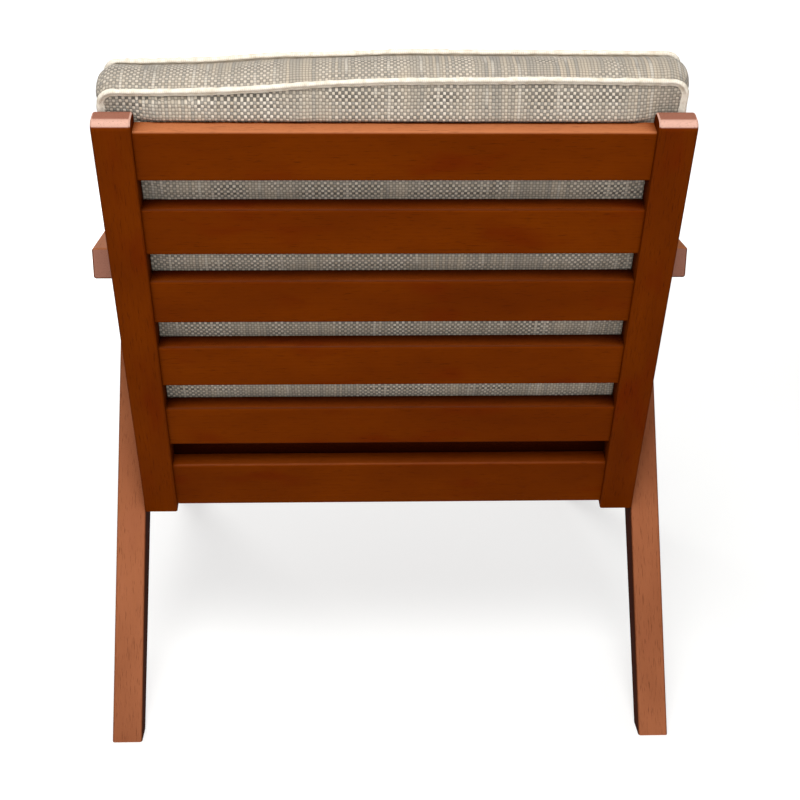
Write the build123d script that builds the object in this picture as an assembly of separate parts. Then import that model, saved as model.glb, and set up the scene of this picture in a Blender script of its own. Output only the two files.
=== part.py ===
from build123d import *
from math import atan, cos, hypot, radians, sin, sqrt, tan
import os

# Outdoor lounge chair: two inverted-V side frames, a reclined slatted back, a slatted seat and
# two loose box cushions. Lengths are millimetres and angles are degrees. X runs across the chair,
# the seat faces -Y and Z is up. Y is first counted from the rear edge of the rear feet, and the
# finished pieces are then moved so that the origin lies under the middle of the chair.

# Side frames
inside_width = 610.0
frame_stock = 36.0
foot_spread = 737.0
foot_depth = 32.0
leg_top_length = 53.4
leg_fork_drop = 22.6
leg_tenon_height = 22.0
leg_tenon_thickness = 12.0
leg_tenon_shoulder = 8.0
arm_underside = 557.0
arm_thickness = 36.0
arm_length = 533.0
arm_end_ease = 1.5
edge_ease = 3.0
inner_edge_chamfer = 1.5

# Back frame, placed by the rear lower corner of its stiles
recline = 19.8
stile_foot_forward = 133.3
stile_foot_height = 247.2
stile_length = 546.0
stile_width = 40.0
stile_top_radius = 10.0
slat_recess = 8.0
slat_thickness = 22.0
slat_width = 57.5
slat_count = 5
top_slat_drop = 15.0
bottom_rail_width = 67.0
bottom_rail_rise = 4.2
slat_tenon_length = 20.0
slat_tenon_thickness = 10.0
slat_tenon_shoulder = 8.0

# Seat frame, placed by the height up the stile where its deck meets the back
seat_slope = 3.0
deck_mark = 97.0
deck_length = 565.0
seat_slat_count = 7
seat_slat_width = 52.0
seat_slat_thickness = 18.0
seat_slat_drop = 1.5
seat_slat_end_gap = 8.0
seat_tenon_length = 12.0
seat_tenon_thickness = 8.0
seat_tenon_shoulder = 6.0
rail_height = 70.0
side_rail_thickness = 28.0
rail_nose_radius = 16.0
cross_rail_thickness = 22.0
front_rail_setback = 8.0
cross_tenon_length = 12.0
cross_tenon_thickness = 10.0
cross_tenon_shoulder = 10.0
rail_tenon_length = 18.0
rail_tenon_thickness = 10.0
rail_tenon_cover = 5.0
rail_tenon_shoulder = 10.0

# Play of every tenon in its mortise, all round and at its end
mortise_play = 0.15
mortise_end_gap = 1.0

# Flat-headed socket bolts from the side rails into threaded inserts in the legs
bolt_drop = 41.0
bolt_radius = 4.0
bolt_grip_in_leg = 17.0
bolt_head_radius = 8.5
bolt_head_height = 2.5
bolt_socket_radius = 2.9
bolt_socket_depth = 5.0
bolt_hole_play = 0.3
insert_radius = 6.0
insert_length = 18.0
insert_bore_play = 0.05

# Cushions: foam blocks in sewn covers with a corded seam along both edges of the boxing
cushion_width = 584.0
cushion_boxing = 60.0
cushion_corner_radius = 26.0
cushion_side_bulge = 8.0
boxing_strips = 4
cushion_side_draw = 3.0
front_crown = 14.0
rest_crown = 5.0
crown_inset = 110.0
wadding = 6.0
piping_radius = 3.0
piping_sides = 6
piping_gap = 0.2
cushion_rest_gap = 0.3
back_cushion_rise = 28.5
seat_cushion_overhang = 10.0
seat_cushion_back_gap = 1.0

side_face = inside_width / 2
outer_face = side_face + frame_stock
stile_depth = slat_recess + slat_thickness
stile_inner_face = side_face - stile_width
rail_inner_face = side_face - side_rail_thickness
deck_angle = radians(recline - seat_slope)
frame_middle = -foot_spread / 2
outer_slope = (foot_spread / 2 - leg_top_length) / arm_underside
inner_slope = (foot_spread / 2 - foot_depth) / (arm_underside - leg_fork_drop)

# Back plane: x across, y towards the rear, z up the stiles. Its zero is the rear lower edge.
back_plane = Plane(
    origin=(0, -stile_foot_forward, stile_foot_height),
    x_dir=(1, 0, 0),
    z_dir=(0, sin(radians(recline)), cos(radians(recline))),
)
# Deck plane: x across, y towards the rear, z square to the seat. Its zero is where the deck
# meets the front faces of the back.
deck_plane = Plane(
    origin=back_plane.from_local_coords((0, -stile_depth, deck_mark)),
    x_dir=(1, 0, 0),
    z_dir=(0, sin(radians(seat_slope)), cos(radians(seat_slope))),
)

rear_reach = (
    (stile_length - stile_top_radius) * sin(radians(recline))
    - stile_foot_forward
    + stile_top_radius * (1 - cos(radians(recline)))
)
centre_shift = (foot_spread - rear_reach) / 2
nodes = {}


def keep(name, shape):
    nodes[name] = Pos(0, centre_shift, 0) * shape


def keep_pair(name, left_shape):
    keep(name + "_left", left_shape)
    keep(name + "_right", mirror(left_shape, about=Plane.YZ))


def both_sides(shapes):
    return [*shapes, *(mirror(shape, about=Plane.YZ) for shape in shapes)]


def side_profile(points, inner, outer):
    face = make_face(Polyline(*points, close=True))
    return Pos(inner, 0, 0) * extrude(Plane.YZ * face, outer - inner)


def long_edges(shape, least_length):
    return shape.edges().filter_by(lambda edge: edge.length > least_length)


def block(x_range, y_range, z_range):
    size = [high - low for low, high in (x_range, y_range, z_range)]
    middle = [(high + low) / 2 for low, high in (x_range, y_range, z_range)]
    return Pos(*middle) * Box(*size)


def around(middle, width):
    return middle - width / 2, middle + width / 2


def widened(span, extra):
    return span[0] - extra, span[1] + extra


def rod(start, direction, radius, length):
    return Plane(origin=start, z_dir=direction) * Cylinder(
        radius, length, align=(Align.CENTER, Align.CENTER, Align.MIN)
    )


def cut_all(shape, tools):
    for tool in tools:
        shape = shape - tool
    return shape


# Side frame: two tapered legs meet under the middle of the armrest, each with a tenon into it
def leg_tenon(play, end_gap):
    across = around((side_face + outer_face) / 2, leg_tenon_thickness + 2 * play)
    along = (frame_middle + leg_tenon_shoulder, frame_middle + leg_top_length - leg_tenon_shoulder)
    height = (arm_underside - edge_ease, arm_underside + leg_tenon_height + end_gap)
    return block(across, widened(along, play), height)


def rear_leg_blank():
    points = [
        (0, 0),
        (frame_middle + leg_top_length, arm_underside),
        (frame_middle, arm_underside),
        (frame_middle, arm_underside - leg_fork_drop),
        (-foot_depth, 0),
    ]
    blank = side_profile(points, side_face, outer_face)
    return fillet(long_edges(blank, arm_underside / 2), edge_ease) + leg_tenon(0, 0)


def to_front(shape):
    return mirror(shape, about=Plane.XZ.offset(-frame_middle))


def armrest():
    blank = block(
        (side_face, outer_face),
        around(frame_middle, arm_length),
        around(arm_underside + arm_thickness / 2, arm_thickness),
    )
    blank = fillet(blank.edges().filter_by(Axis.Y), edge_ease)
    ends = blank.faces().filter_by(Axis.Y)
    blank = chamfer(ends.edges(), arm_end_ease)
    mortise = leg_tenon(mortise_play, mortise_end_gap)
    return blank - mortise - to_front(mortise)


# Bolts: one where each leg crosses a side rail, driven from the rail's inner face
def bolt_places():
    start = deck_plane.from_local_coords((0, 0, -bolt_drop))
    along = deck_plane.y_dir
    places = []
    for foot, way in ((-foot_depth / 2, -1), (foot_depth / 2 - foot_spread, 1)):
        # The leg's middle line is y = foot + slope * z.
        slope = way * (outer_slope + inner_slope) / 2
        reach = (foot + slope * start.Z - start.Y) / (along.Y - slope * along.Z)
        crossing = start + along * reach
        places.append((crossing.Y, crossing.Z))
    return places


def bolt(place):
    face = rail_inner_face
    shank = rod((face, *place), (1, 0, 0), bolt_radius, side_rail_thickness + bolt_grip_in_leg)
    top = face - bolt_head_height
    head = rod((top, *place), (1, 0, 0), bolt_head_radius, bolt_head_height)
    socket = Plane(origin=(top, *place), z_dir=(1, 0, 0)) * extrude(
        RegularPolygon(bolt_socket_radius, 6), bolt_socket_depth
    )
    return shank + head - socket


def insert_pocket(place):
    return rod((side_face, *place), (1, 0, 0), insert_radius, insert_length)


def threaded_insert(place):
    bore = rod((side_face, *place), (1, 0, 0), bolt_radius + insert_bore_play, insert_length)
    return insert_pocket(place) - bore


def bolt_hole(place):
    radius = bolt_radius + bolt_hole_play
    return rod((rail_inner_face, *place), (1, 0, 0), radius, side_rail_thickness)


# Back: slats and a wider bottom rail, tenoned into mortises in two stiles
def slat_ranges():
    # The upper edges of the slats and of the bottom rail are evenly spaced.
    top = stile_length - top_slat_drop
    rail_top = bottom_rail_rise + bottom_rail_width
    pitch = (top - rail_top) / slat_count
    ranges = [(top - i * pitch - slat_width, top - i * pitch) for i in range(slat_count)]
    return [*ranges, (bottom_rail_rise, rail_top)]


def slat_tenon(low, high, play, end_gap):
    reach = stile_inner_face + slat_tenon_length + end_gap
    middle = -slat_recess - slat_thickness / 2
    height = widened((low + slat_tenon_shoulder, high - slat_tenon_shoulder), play)
    return block((-reach, reach), around(middle, slat_tenon_thickness + 2 * play), height)


def slat(low, high):
    across = (-stile_inner_face, stile_inner_face)
    board = block(across, (-stile_depth, -slat_recess), (low, high))
    board = fillet(long_edges(board, stile_inner_face).group_by(Axis.Y)[-1], edge_ease)
    front_edges = long_edges(board, stile_inner_face).group_by(Axis.Y)[0]
    board = chamfer(front_edges, inner_edge_chamfer)
    return board + slat_tenon(low, high, 0, 0)


def back_stile():
    blank = block((stile_inner_face, side_face), (-stile_depth, 0), (0, stile_length))
    blank = fillet(blank.edges().group_by(Axis.Z)[-1].filter_by(Axis.X), stile_top_radius)
    blank = fillet(blank.edges().filter_by(Axis.Z).group_by(Axis.X)[-1], edge_ease)
    blank = chamfer(blank.edges().filter_by(Axis.Z).group_by(Axis.X)[0], inner_edge_chamfer)
    mortises = [slat_tenon(*span, mortise_play, mortise_end_gap) for span in slat_ranges()]
    stile = back_plane.location * cut_all(blank, mortises)
    return stile - rail_tenon(mortise_play, mortise_end_gap)


# Seat frame: side rails tenoned into the stiles, cross rails and slats tenoned into side rails
def rail_rear_span():
    return deck_mark - rail_height / cos(deck_angle), deck_mark


def rail_tenon(play, end_gap):
    low, high = rail_rear_span()
    outer = side_face - rail_tenon_cover
    return back_plane.location * block(
        widened((outer - rail_tenon_thickness, outer), play),
        (-stile_depth - edge_ease, -stile_depth + rail_tenon_length + end_gap),
        widened((low + rail_tenon_shoulder, high - rail_tenon_shoulder), play),
    )


def front_rail_range():
    front = -deck_length + front_rail_setback
    return front, front + cross_rail_thickness


def rear_rail_range():
    top = deck_mark - cross_rail_thickness * tan(deck_angle)
    return top - rail_height + seat_slat_drop, top - seat_slat_drop


def seat_slat_fronts():
    rear = -rear_rail_depth() - seat_slat_end_gap - seat_slat_width
    front = front_rail_range()[1] + seat_slat_end_gap
    step = (rear - front) / (seat_slat_count - 1)
    return [rear - step * i for i in range(seat_slat_count)]


def rear_rail_depth():
    # Reach of the leaning rear rail along the deck, at its upper front corner
    return cross_rail_thickness / cos(deck_angle)


def cross_tenon(y_range, z_range, length, thickness, shoulder, play, end_gap):
    reach = rail_inner_face + length + end_gap
    return block(
        (-reach, reach),
        around(sum(y_range) / 2, thickness + 2 * play),
        widened((z_range[0] + shoulder, z_range[1] - shoulder), play),
    )


def front_rail_tenon(play, end_gap):
    height = (-rail_height, -seat_slat_drop)
    sizes = (cross_tenon_length, cross_tenon_thickness, cross_tenon_shoulder)
    return deck_plane.location * cross_tenon(front_rail_range(), height, *sizes, play, end_gap)


def rear_rail_tenon(play, end_gap):
    depth = (-stile_depth - cross_rail_thickness, -stile_depth)
    sizes = (cross_tenon_length, cross_tenon_thickness, cross_tenon_shoulder)
    return back_plane.location * cross_tenon(depth, rear_rail_range(), *sizes, play, end_gap)


def seat_slat_tenon(front, play, end_gap):
    reach = rail_inner_face + seat_tenon_length + end_gap
    middle = -seat_slat_drop - seat_slat_thickness / 2
    along = (front + seat_tenon_shoulder, front + seat_slat_width - seat_tenon_shoulder)
    return deck_plane.location * block(
        (-reach, reach), widened(along, play), around(middle, seat_tenon_thickness + 2 * play)
    )


def side_rail():
    points = [
        (0, 0),
        (-deck_length, 0),
        (-deck_length, -rail_height),
        (-rail_height * tan(deck_angle), -rail_height),
    ]
    blank = side_profile(points, rail_inner_face, side_face)
    nose = blank.edges().filter_by(Axis.X).group_by(Axis.Y)[0].sort_by(Axis.Z)[0]
    blank = fillet(nose, rail_nose_radius)
    upper_edges = long_edges(blank, deck_length / 2).group_by(Axis.Z)[-1]
    blank = fillet(upper_edges, edge_ease)
    lower_edges = long_edges(blank, deck_length / 2).group_by(Axis.Z)[0]
    blank = deck_plane.location * chamfer(lower_edges, inner_edge_chamfer)
    blank = blank + rail_tenon(0, 0)
    mortises = [seat_slat_tenon(front, mortise_play, mortise_end_gap) for front in seat_slat_fronts()]
    mortises.append(front_rail_tenon(mortise_play, mortise_end_gap))
    mortises.append(rear_rail_tenon(mortise_play, mortise_end_gap))
    holes = [bolt_hole(place) for place in bolt_places()]
    return cut_all(blank, mortises + holes)


def deck_board(y_range, z_range):
    # Rounded along its upper edges, with a small chamfer along the lower ones
    board = block((-rail_inner_face, rail_inner_face), y_range, z_range)
    board = fillet(long_edges(board, rail_inner_face).group_by(Axis.Z)[-1], edge_ease)
    return chamfer(long_edges(board, rail_inner_face).group_by(Axis.Z)[0], inner_edge_chamfer)


def seat_slat(front):
    height = (-seat_slat_drop - seat_slat_thickness, -seat_slat_drop)
    board = deck_board((front, front + seat_slat_width), height)
    return deck_plane.location * board + seat_slat_tenon(front, 0, 0)


def front_rail():
    board = deck_board(front_rail_range(), (-rail_height, -seat_slat_drop))
    return deck_plane.location * board + front_rail_tenon(0, 0)


def rear_rail():
    depth = (-stile_depth - cross_rail_thickness, -stile_depth)
    return back_plane.location * deck_board(depth, rear_rail_range()) + rear_rail_tenon(0, 0)


# Cushions: the boxing bulges between its two seams, and both panels crown from their seams
def cushion_outline(half_x, half_y, corner, height):
    turn_x = 2 * atan(cushion_side_draw / (half_x - corner))
    turn_y = 2 * atan(cushion_side_draw / (half_y - corner))
    right_x = half_x - corner + corner * cos(turn_y)
    right_y = half_y - corner - corner * sin(turn_y)
    top_x = half_x - corner - corner * sin(turn_x)
    top_y = half_y - corner + corner * cos(turn_x)
    bend_x = half_x - corner + corner / sqrt(2)
    bend_y = half_y - corner + corner / sqrt(2)
    waist_x = right_x - right_y * tan(turn_y / 2)
    waist_y = top_y - top_x * tan(turn_x / 2)
    edges = [
        ThreePointArc((right_x, -right_y), (waist_x, 0), (right_x, right_y)),
        ThreePointArc((right_x, right_y), (bend_x, bend_y), (top_x, top_y)),
        ThreePointArc((top_x, top_y), (0, waist_y), (-top_x, top_y)),
        ThreePointArc((-top_x, top_y), (-bend_x, bend_y), (-right_x, right_y)),
        ThreePointArc((-right_x, right_y), (-waist_x, 0), (-right_x, -right_y)),
        ThreePointArc((-right_x, -right_y), (-bend_x, -bend_y), (-top_x, -top_y)),
        ThreePointArc((-top_x, -top_y), (0, -waist_y), (top_x, -top_y)),
        ThreePointArc((top_x, -top_y), (bend_x, -bend_y), (right_x, -right_y)),
    ]
    return Pos(0, 0, height) * Wire(edges)


def arched_profile(half, rise):
    # Flat in the middle and rounded down to nothing at both ends
    crest = half - crown_inset
    return make_face(
        [
            Line((-half, 0), (half, 0)),
            TangentArc((crest, rise), (half, 0), tangent=(1, 0)),
            Line((-crest, rise), (crest, rise)),
            TangentArc((-crest, rise), (-half, 0), tangent=(-1, 0)),
        ]
    )


def crowned_panel(half_x, half_y, seam, rise):
    outline = Face(cushion_outline(half_x, half_y, cushion_corner_radius, 0))
    across = extrude(Plane.XZ * arched_profile(half_x, rise), half_y, both=True)
    along = extrude(Plane.YZ * arched_profile(half_y, rise), half_x, both=True)
    return Pos(0, 0, seam) * (extrude(outline, rise) & across & along)


def boxing_bulge(share):
    return 4 * share * (1 - share) * cushion_side_bulge


def boxing_band(half_x, half_y, low, high):
    sections = []
    for i in range(boxing_strips + 1):
        share = i / boxing_strips
        bulge = boxing_bulge(share)
        corner = cushion_corner_radius + bulge
        height = low + share * (high - low)
        sections.append(Face(cushion_outline(half_x + bulge, half_y + bulge, corner, height)))
    return loft(sections, ruled=True) - foam_block(half_x, half_y, low, high)


def foam_block(half_x, half_y, low, high):
    corner = cushion_corner_radius - wadding
    outline = RectangleRounded(2 * (half_x - wadding), 2 * (half_y - wadding), corner)
    return Pos(0, 0, low) * extrude(outline, high - low)


def piping_outset():
    # The cord clears the first strip of the boxing, which slopes out from the seam.
    slope = boxing_bulge(1 / boxing_strips) * boxing_strips / cushion_boxing
    return (piping_radius + piping_gap) * hypot(1, slope)


def piping_loop(half_x, half_y, seam):
    outset = piping_outset()
    corner = cushion_corner_radius + outset
    path = cushion_outline(half_x + outset, half_y + outset, corner, seam)
    profile = Plane(origin=path @ 0, z_dir=path % 0) * RegularPolygon(piping_radius, piping_sides)
    return sweep(profile, path=path)


def make_cushion(name, length, place, rest_name, front_name):
    half_x, half_y = cushion_width / 2, length / 2
    low, high = rest_crown, rest_crown + cushion_boxing
    keep(name + "_core", place * foam_block(half_x, half_y, low, high))
    keep(name + "_boxing", place * boxing_band(half_x, half_y, low, high))
    for panel_name, seam, rise in ((rest_name, low, -rest_crown), (front_name, high, front_crown)):
        panel = crowned_panel(half_x, half_y, seam, rise)
        keep(name + "_" + panel_name + "_panel", place * panel)
        keep(name + "_" + panel_name + "_piping", place * piping_loop(half_x, half_y, seam))


def make_side_frames():
    places = bolt_places()
    pockets = [insert_pocket(place) for place in places]
    rear_leg = rear_leg_blank()
    keep_pair("rear_leg", cut_all(rear_leg, pockets))
    keep_pair("front_leg", cut_all(to_front(rear_leg), pockets))
    keep_pair("armrest", armrest())
    keep("leg_bolts", Compound(children=both_sides([bolt(place) for place in places])))
    keep("leg_inserts", Compound(children=both_sides([threaded_insert(place) for place in places])))


def make_back():
    keep_pair("back_stile", back_stile())
    ranges = slat_ranges()
    for number, span in enumerate(ranges[:-1], 1):
        keep("back_slat_" + str(number), back_plane.location * slat(*span))
    keep("back_bottom_rail", back_plane.location * slat(*ranges[-1]))


def make_seat():
    keep_pair("side_rail", side_rail())
    for number, front in enumerate(seat_slat_fronts(), 1):
        keep("seat_slat_" + str(number), seat_slat(front))
    keep("front_rail", front_rail())
    keep("rear_rail", rear_rail())


def make_cushions():
    # The lower rear cord of the back cushion stands on the deck.
    rear_seam_depth = rest_crown + cushion_rest_gap
    cord_rise = piping_radius + cushion_rest_gap - rear_seam_depth * sin(deck_angle)
    back_low = deck_mark + cord_rise / cos(deck_angle) + piping_outset()
    back_high = stile_length + back_cushion_rise - piping_outset()
    back_place = Plane(
        origin=back_plane.from_local_coords(
            (0, -stile_depth - cushion_rest_gap, (back_low + back_high) / 2)
        ),
        x_dir=(1, 0, 0),
        z_dir=-back_plane.y_dir,
    )
    make_cushion("back_cushion", back_high - back_low, back_place.location, "rear", "front")
    # The lower front cord of the back cushion comes furthest over the seat.
    cord_depth = rear_seam_depth + cushion_boxing + piping_outset() + piping_radius
    seat_rear = -cord_depth * cos(deck_angle) - seat_cushion_back_gap - cushion_side_bulge
    seat_front = -deck_length - seat_cushion_overhang
    seat_place = Plane(
        origin=deck_plane.from_local_coords(
            (0, (seat_rear + seat_front) / 2, cushion_rest_gap - seat_slat_drop)
        ),
        x_dir=(1, 0, 0),
        z_dir=deck_plane.z_dir,
    )
    make_cushion("seat_cushion", seat_rear - seat_front, seat_place.location, "lower", "upper")


make_side_frames()
make_back()
make_seat()
make_cushions()

os.makedirs("parts", exist_ok=True)
for name, shape in nodes.items():
    export_step(shape, "parts/" + name + ".step")
print(len(nodes), "nodes written")
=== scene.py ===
import bpy
import math
import numpy as np
from mathutils import Matrix, Vector
from mathutils.kdtree import KDTree
from mathutils.noise import noise


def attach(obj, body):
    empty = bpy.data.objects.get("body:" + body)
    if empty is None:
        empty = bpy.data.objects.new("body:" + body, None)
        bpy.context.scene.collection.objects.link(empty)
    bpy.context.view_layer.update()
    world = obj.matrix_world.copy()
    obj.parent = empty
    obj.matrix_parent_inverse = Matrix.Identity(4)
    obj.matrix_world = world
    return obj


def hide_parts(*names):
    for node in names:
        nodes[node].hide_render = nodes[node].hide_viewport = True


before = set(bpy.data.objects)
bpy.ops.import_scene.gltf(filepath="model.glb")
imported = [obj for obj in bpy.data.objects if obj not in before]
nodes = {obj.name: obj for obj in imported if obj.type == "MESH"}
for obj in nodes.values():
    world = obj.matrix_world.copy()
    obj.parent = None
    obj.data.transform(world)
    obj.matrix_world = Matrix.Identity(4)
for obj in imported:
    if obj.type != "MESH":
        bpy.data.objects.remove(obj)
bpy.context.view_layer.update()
scene = bpy.context.scene
print("loaded", len(nodes), "CAD nodes")


def linear(hexColour):
    channels = [int(hexColour[i : i + 2], 16) / 255 for i in (1, 3, 5)]
    return (*(c / 12.92 if c <= 0.04045 else ((c + 0.055) / 1.055) ** 2.4 for c in channels), 1.0)


def addNode(tree, kind, inputs=None, **settings):
    # inputs: socket name or number -> a value, or the output socket that feeds it; a node stands for its first
    # output
    node = tree.nodes.new("ShaderNode" + kind)
    for name, value in settings.items():
        setattr(node, name, value)
    for socket, value in (inputs or {}).items():
        if isinstance(value, bpy.types.Node):
            value = value.outputs[0]
        if isinstance(value, bpy.types.NodeSocket):
            tree.links.new(value, node.inputs[socket])
        else:
            node.inputs[socket].default_value = value
    return node


waveRepeat = 314.0  # mm after which a wave texture of scale 1 repeats


def newMaterial(name):
    material = bpy.data.materials.new(name)
    material.use_nodes = True
    material.node_tree.nodes.clear()
    return material, material.node_tree


# Camera: behind the chair, a little above it
cameraView = {"place": (0.0430, 1.7818, 0.9979), "turn": -2.0, "down": 21.0, "roll": 0.4, "lens": 62.3}


def makeCamera(view):
    turn, down, roll = (math.radians(view[k]) for k in ("turn", "down", "roll"))
    ahead = Vector((math.sin(turn) * math.cos(down), -math.cos(turn) * math.cos(down), -math.sin(down)))
    right = Vector((-math.cos(turn), -math.sin(turn), 0))
    up = right.cross(ahead)
    tiltedRight = right * math.cos(roll) + up * math.sin(roll)
    tiltedUp = up * math.cos(roll) - right * math.sin(roll)
    data = bpy.data.cameras.new("photoCamera")
    data.lens = view["lens"]
    data.sensor_width = 36
    camera = bpy.data.objects.new("photoCamera", data)
    axes = Matrix((tiltedRight, tiltedUp, -ahead)).transposed().to_4x4()
    camera.matrix_world = Matrix.Translation(view["place"]) @ axes
    scene.collection.objects.link(camera)
    scene.camera = camera


makeCamera(cameraView)

# Studio: one soft lamp high above the chair's back, two weak fills, a pale floor that the camera sees as white
studio = {
    "lamps": [
        ("keyLamp", (0.15, 1.70, 2.50), (0, 0.1, 0.45), 1.4, 50),
        ("backFill", (0.1, 3.4, 1.1), (0, 0, 0.5), 2.4, 32),
        ("frontFill", (1.1, -2.4, 1.5), (0, 0, 0.4), 1.8, 42),
    ],
    "dome": 0.22,
    "floorColour": "#C4C4C2",
    "floorRoughness": (0.75, 0.9),
    "floorShine": 0.1,
    "brushMarks": 35.0,  # per metre
    "floorGlow": (0.60, 1.0),  # near the chair and far from it
    "glowReach": (1.1, 3.2),  # metres
    "floorSide": 30.0,
}


def shownRays(tree):
    # 1 for rays straight from the camera or by way of metal and glass, else 0
    path = addNode(tree, "LightPath")
    seen = addNode(
        tree, "Math", {0: path.outputs["Is Camera Ray"], 1: path.outputs["Is Glossy Ray"]}, operation="MAXIMUM"
    )
    return addNode(tree, "Math", {0: seen, 1: path.outputs["Is Transmission Ray"]}, operation="MAXIMUM")


def makeStudio(values):
    for name, place, target, size, power in values["lamps"]:
        data = bpy.data.lights.new(name, "AREA")
        data.shape = "DISK"
        data.size = size
        data.energy = power
        lamp = bpy.data.objects.new(name, data)
        aim = (Vector(target) - Vector(place)).to_track_quat("-Z", "Y").to_matrix().to_4x4()
        lamp.matrix_world = Matrix.Translation(place) @ aim
        lamp.visible_camera = False
        scene.collection.objects.link(lamp)
    world = bpy.data.worlds.new("studioWorld")
    world.use_nodes = True
    tree = world.node_tree
    tree.nodes.clear()
    seen = shownRays(tree)
    dome = addNode(tree, "Background", {"Color": (1, 1, 1, 1), "Strength": values["dome"]})
    white = addNode(tree, "Background", {"Color": (1, 1, 1, 1), "Strength": 1.0})
    both = addNode(tree, "MixShader", {0: seen, 1: dome, 2: white})
    addNode(tree, "OutputWorld", {"Surface": both})
    scene.world = world
    # Matt painted studio floor: lit like any floor, with a glow for the camera that lifts it to white round the
    # chair's shadow
    material, tree = newMaterial("mattPaintedFloor")
    low, high = values["floorRoughness"]
    grain = addNode(tree, "TexNoise", {"Scale": values["brushMarks"], "Detail": 3.0})
    rough = addNode(tree, "MapRange", {0: grain, 3: low, 4: high})
    paint = addNode(
        tree,
        "BsdfPrincipled",
        {
            "Base Color": linear(values["floorColour"]),
            "Roughness": rough,
            "Specular IOR Level": values["floorShine"],
        },
    )
    seen = shownRays(tree)
    spot = addNode(tree, "TexCoord")
    far = addNode(tree, "VectorMath", {0: spot.outputs["Object"]}, operation="LENGTH")
    (nearGlow, farGlow), (nearReach, farReach) = values["floorGlow"], values["glowReach"]
    level = addNode(
        tree,
        "MapRange",
        {0: far.outputs["Value"], 1: nearReach, 2: farReach, 3: nearGlow, 4: farGlow},
        interpolation_type="SMOOTHSTEP",
    )
    share = addNode(tree, "Math", {0: seen, 1: level}, operation="MULTIPLY")
    glow = addNode(tree, "Emission", {"Color": (1, 1, 1, 1), "Strength": share})
    both = addNode(tree, "AddShader", {0: paint, 1: glow})
    addNode(tree, "OutputMaterial", {"Surface": both})
    half = values["floorSide"] / 2
    mesh = bpy.data.meshes.new("studioFloor")
    mesh.from_pydata(
        [(-half, -half, 0), (half, -half, 0), (half, half, 0), (-half, half, 0)], [], [(0, 1, 2, 3)]
    )
    floor = bpy.data.objects.new("studioFloor", mesh)
    mesh.materials.append(material)
    scene.collection.objects.link(floor)
    scene.view_settings.view_transform = "Standard"


makeStudio(studio)
print("camera and studio made")

# Frame: every wooden node keeps its CAD shape, and its grain runs along its own length
hardwood = {
    "stain": "#793300",
    "deepStain": "#642600",
    "redPatch": "#661B00",
    "poreColour": "#3A1000",
    "paintedShade": "#1E0300",
    "paintedTopLight": "#BD774F",
    "paintedEdge": "#E6B8A5",
    "endGrain": "#A87563",
    "ringShare": 0.30,
    "poreShare": 0.45,
    "patchShare": 0.55,
    "endShare": 0.9,
    "topLightShare": 0.85,  # how far painted light lightens the open upper faces
    "topLightLow": 0.75,  # and how much of that painted light is left where the stain is deeper
    "topLightUpward": 0.7,  # height of the normal from which a face gets the painted light in full
    "paintedEdgeShare": 0.0,  # share of painted edge colour: a pale highlight on the stiles, a dark shade on the slats
    "innerShade": 0.0,  # how far painted shade darkens the sides that look towards the chair's middle
    "skyReach": 0.09,  # metres round a point within which other pieces close the sky
    "openFrom": (0.42, 0.56),  # share of open sky from which the painted top light starts and is full
    "gapShadeFrom": (0.20, 0.46),  # share of open sky at which the painted shade is darkest, and from which there is none
    "gapShadeShare": 0.96,
    "paintedEdgeFrom": (0.04, 0.22),  # height of the normal at which the painted edge colour starts and is full
    "paintedEdgeTo": (0.8, 0.92),  # and at which it begins to end and is gone
    "endFrom": (0.8, 0.96),  # how far a face looks along the grain where end grain starts and is full
    "innerFrom": (-0.28, -0.15),  # place times normal across the chair, in full and gone
    "pieceShift": (3.1, 5.3, 7.7),  # metres that keep two pieces from showing the same figure
    "heartLine": (0.055, 0.034, 0.0),  # metres from the board's middle to the heart of the tree
    "ringStretch": 0.045,  # how slowly the rings change along the grain
    "ringSpacing": 4.5,  # mm
    "ringWander": 0.03,  # metres
    "wandersPerMetre": 28.0,
    "poreWidth": 0.9,  # mm, coarser than real pores of 0.2 mm, which would not show
    "poreLength": 14.0,  # mm
    "poreFrom": (0.58, 0.72),  # noise at which a pore starts and is full
    "patchSize": 90.0,  # mm
    "patchStretch": 2.5,  # how much longer the patches are along the grain
    "patchFrom": (0.52, 0.78),
    "roughness": (0.42, 0.56),
    "reliefDepth": 0.0004,  # metres
    "coat": 0.03,
    "coatRoughness": 0.2,
}
# Variants in painted light and shade: the top slat gets a brighter painted top light and less gap shade, the
# stiles a painted pale highlight on their rounded tops, the rear legs painted shade on their inner sides, the
# slats little top light and painted shade on their edges, the bottom rail little top light and less gap shade,
# and the rear rail painted shade over most of it
topSlatWood = {**hardwood, "paintedTopLight": "#CD8154", "gapShadeFrom": (0.04, 0.22)}
stileWood = {**hardwood, "paintedTopLight": "#A5715E", "paintedEdgeShare": 0.8}
legWood = {**hardwood, "paintedTopLight": "#CA835D", "topLightLow": 0.5, "innerShade": 0.65}
shadedWood = {**hardwood, "topLightShare": 0.08, "paintedEdge": "#331000", "paintedEdgeShare": 0.5}
bottomRailWood = {**hardwood, "topLightShare": 0.12, "gapShadeFrom": (0.0, 0.12)}
rearRailWood = {**shadedWood, "gapShadeFrom": (0.75, 1.0)}


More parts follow.
